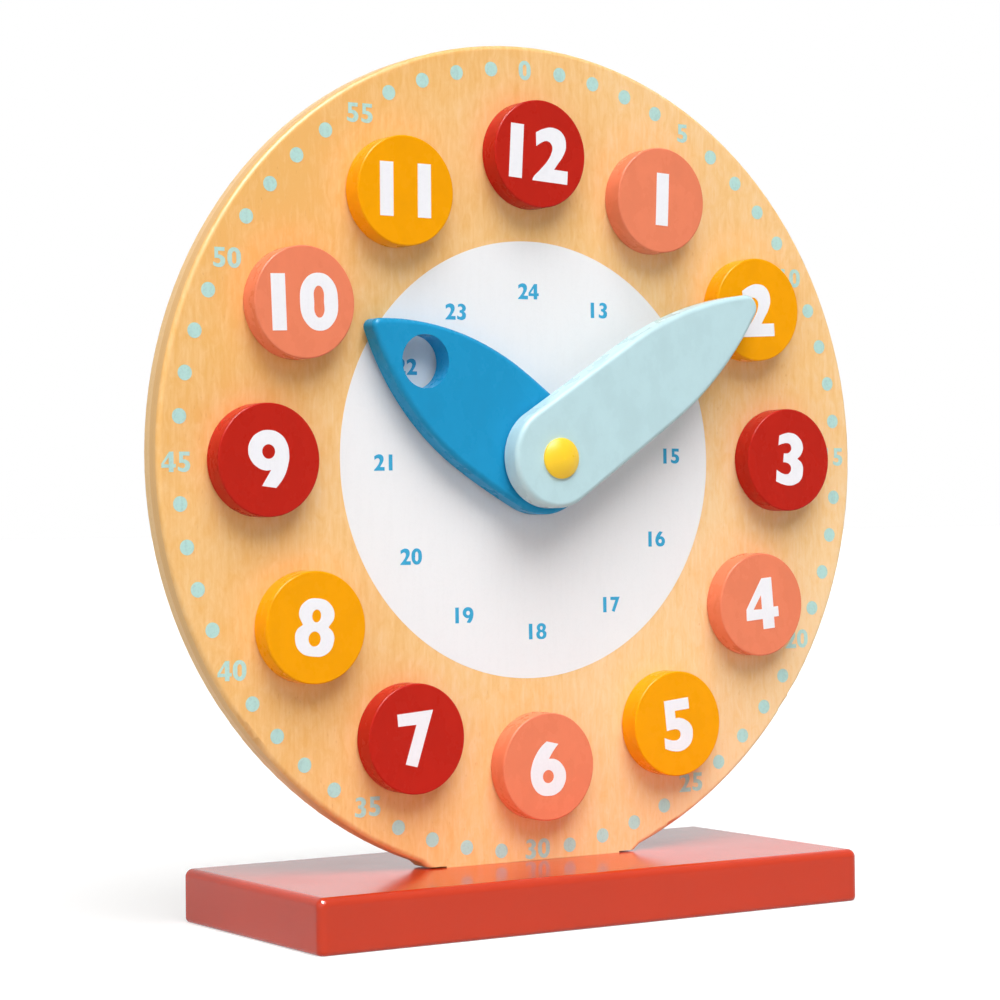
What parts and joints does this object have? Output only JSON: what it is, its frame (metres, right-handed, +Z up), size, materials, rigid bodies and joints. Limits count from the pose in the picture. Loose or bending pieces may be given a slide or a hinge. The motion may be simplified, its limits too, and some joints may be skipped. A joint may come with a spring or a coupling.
{
  "type": "geared teaching clock",
  "caption": "Upright wooden teaching clock: round plywood dial on a flat base, lift-off hour blocks, and hour and minute hands coupled by a gear train behind the dial.",
  "frame": {"origin": "centre of the base's underside, on the surface that the clock stands on", "axes": "+Z up, the dial faces -Y, +X to the viewer's right as the dial is read"},
  "size_m": [0.2656, 0.0904, 0.2798],
  "materials": {
    "base_lacquer": "gloss red lacquer",
    "dial_plywood": "clear satin varnish over birch ply",
    "block_red": "satin paint",
    "block_coral": "satin paint",
    "block_amber": "satin paint",
    "peg_beech": "bare turned beech",
    "hour_hand_blue": "satin paint",
    "minute_hand_blue": "satin paint",
    "cap_yellow": "gloss",
    "arbor_steel": "ground",
    "screw_steel": "zinc plated",
    "plate_steel": "zinc plated sheet",
    "bush_brass": "turned",
    "gear_nylon": "moulded",
    "washer_nylon": "moulded",
    "cover_plastic": "fine moulded texture"
  },
  "bodies": {
    "root": {"base_block": "base_lacquer", "base_screws": "screw_steel", "dial_plate": "dial_plywood", "dial_bush": "bush_brass", "gear_plate": "plate_steel", "gear_cover": "cover_plastic", "cover_screws": "screw_steel", "intermediate_stud": "arbor_steel"},
    "minute_set": {"minute_hand": "minute_hand_blue", "centre_cap": "cap_yellow", "minute_arbor": "arbor_steel", "minute_pinion": "gear_nylon", "hand_washer": "washer_nylon"},
    "hour_set": {"hour_hand": "hour_hand_blue", "hour_tube": "bush_brass", "hour_wheel": "gear_nylon"},
    "intermediate_set": {"intermediate_wheel": "gear_nylon", "intermediate_pinion": "gear_nylon"},
    "peg_01": {"block_peg_01": "peg_beech"},
    "block_01": {"hour_block_01": "block_coral"},
    "peg_02": {"block_peg_02": "peg_beech"},
    "block_02": {"hour_block_02": "block_amber"},
    "peg_03": {"block_peg_03": "peg_beech"},
    "block_03": {"hour_block_03": "block_red"},
    "peg_04": {"block_peg_04": "peg_beech"},
    "block_04": {"hour_block_04": "block_coral"},
    "peg_05": {"block_peg_05": "peg_beech"},
    "block_05": {"hour_block_05": "block_amber"},
    "peg_06": {"block_peg_06": "peg_beech"},
    "block_06": {"hour_block_06": "block_coral"},
    "peg_07": {"block_peg_07": "peg_beech"},
    "block_07": {"hour_block_07": "block_red"},
    "peg_08": {"block_peg_08": "peg_beech"},
    "block_08": {"hour_block_08": "block_amber"},
    "peg_09": {"block_peg_09": "peg_beech"},
    "block_09": {"hour_block_09": "block_red"},
    "peg_10": {"block_peg_10": "peg_beech"},
    "block_10": {"hour_block_10": "block_coral"},
    "peg_11": {"block_peg_11": "peg_beech"},
    "block_11": {"hour_block_11": "block_amber"},
    "peg_12": {"block_peg_12": "peg_beech"},
    "block_12": {"hour_block_12": "block_red"}
  },
  "joints": [
    {"name": "minute_turn", "type": "hinge", "parent": "root", "child": "minute_set", "pos_m": [0, 0, 0.14622], "axis": [0, 1, 0], "continuous": true},
    {"name": "hour_turn", "type": "hinge", "parent": "root", "child": "hour_set", "pos_m": [0, 0, 0.14622], "axis": [0, 1, 0], "continuous": true},
    {"name": "intermediate_turn", "type": "hinge", "parent": "root", "child": "intermediate_set", "pos_m": [0, 0, 0.12222], "axis": [0, 1, 0], "continuous": true},
    {"name": "lift_block_01", "type": "slide", "parent": "root", "child": "peg_01", "axis": [0, -1, 0], "range_m": [0, 0.03]},
    {"name": "turn_block_01", "type": "hinge", "parent": "peg_01", "child": "block_01", "pos_m": [0.04742, -0.0051, 0.23178], "axis": [0, 1, 0], "continuous": true},
    {"name": "lift_block_02", "type": "slide", "parent": "root", "child": "peg_02", "axis": [0, -1, 0], "range_m": [0, 0.0015]},
    {"name": "turn_block_02", "type": "hinge", "parent": "peg_02", "child": "block_02", "pos_m": [0.08712, -0.0051, 0.19693], "axis": [0, 1, 0], "continuous": true},
    {"name": "lift_block_03", "type": "slide", "parent": "root", "child": "peg_03", "axis": [0, -1, 0], "range_m": [0, 0.03]},
    {"name": "turn_block_03", "type": "hinge", "parent": "peg_03", "child": "block_03", "pos_m": [0.09969, -0.0051, 0.14622], "axis": [0, 1, 0], "continuous": true},
    {"name": "lift_block_04", "type": "slide", "parent": "root", "child": "peg_04", "axis": [0, -1, 0], "range_m": [0, 0.03]},
    {"name": "turn_block_04", "type": "hinge", "parent": "peg_04", "child": "block_04", "pos_m": [0.08729, -0.0051, 0.09741], "axis": [0, 1, 0], "continuous": true},
    {"name": "lift_block_05", "type": "slide", "parent": "root", "child": "peg_05", "axis": [0, -1, 0], "range_m": [0, 0.03]},
    {"name": "turn_block_05", "type": "hinge", "parent": "peg_05", "child": "block_05", "pos_m": [0.05192, -0.0051, 0.05893], "axis": [0, 1, 0], "continuous": true},
    {"name": "lift_block_06", "type": "slide", "parent": "root", "child": "peg_06", "axis": [0, -1, 0], "range_m": [0, 0.03]},
    {"name": "turn_block_06", "type": "hinge", "parent": "peg_06", "child": "block_06", "pos_m": [0.00069, -0.0051, 0.04757], "axis": [0, 1, 0], "continuous": true},
    {"name": "lift_block_07", "type": "slide", "parent": "root", "child": "peg_07", "axis": [0, -1, 0], "range_m": [0, 0.03]},
    {"name": "turn_block_07", "type": "hinge", "parent": "peg_07", "child": "block_07", "pos_m": [-0.04829, -0.0051, 0.05893], "axis": [0, 1, 0], "continuous": true},
    {"name": "lift_block_08", "type": "slide", "parent": "root", "child": "peg_08", "axis": [0, -1, 0], "range_m": [0, 0.03]},
    {"name": "turn_block_08", "type": "hinge", "parent": "peg_08", "child": "block_08", "pos_m": [-0.08366, -0.0051, 0.09465], "axis": [0, 1, 0], "continuous": true},
    {"name": "lift_block_09", "type": "slide", "parent": "root", "child": "peg_09", "axis": [0, -1, 0], "range_m": [0, 0.03]},
    {"name": "turn_block_09", "type": "hinge", "parent": "peg_09", "child": "block_09", "pos_m": [-0.09917, -0.0051, 0.1457], "axis": [0, 1, 0], "continuous": true},
    {"name": "lift_block_10", "type": "slide", "parent": "root", "child": "peg_10", "axis": [0, -1, 0], "range_m": [0, 0.03]},
    {"name": "turn_block_10", "type": "hinge", "parent": "peg_10", "child": "block_10", "pos_m": [-0.08643, -0.0051, 0.19382], "axis": [0, 1, 0], "continuous": true},
    {"name": "lift_block_11", "type": "slide", "parent": "root", "child": "peg_11", "axis": [0, -1, 0], "range_m": [0, 0.03]},
    {"name": "turn_block_11", "type": "hinge", "parent": "peg_11", "child": "block_11", "pos_m": [-0.05037, -0.0051, 0.22971], "axis": [0, 1, 0], "continuous": true},
    {"name": "lift_block_12", "type": "slide", "parent": "root", "child": "peg_12", "axis": [0, -1, 0], "range_m": [0, 0.03]},
    {"name": "turn_block_12", "type": "hinge", "parent": "peg_12", "child": "block_12", "pos_m": [-0.00017, -0.0051, 0.24418], "axis": [0, 1, 0], "continuous": true}
  ],
  "couplings": [
    {"joint": "intermediate_turn", "follows": "minute_turn", "ratio": -0.33333},
    {"joint": "hour_turn", "follows": "minute_turn", "ratio": 0.083333}
  ]
}
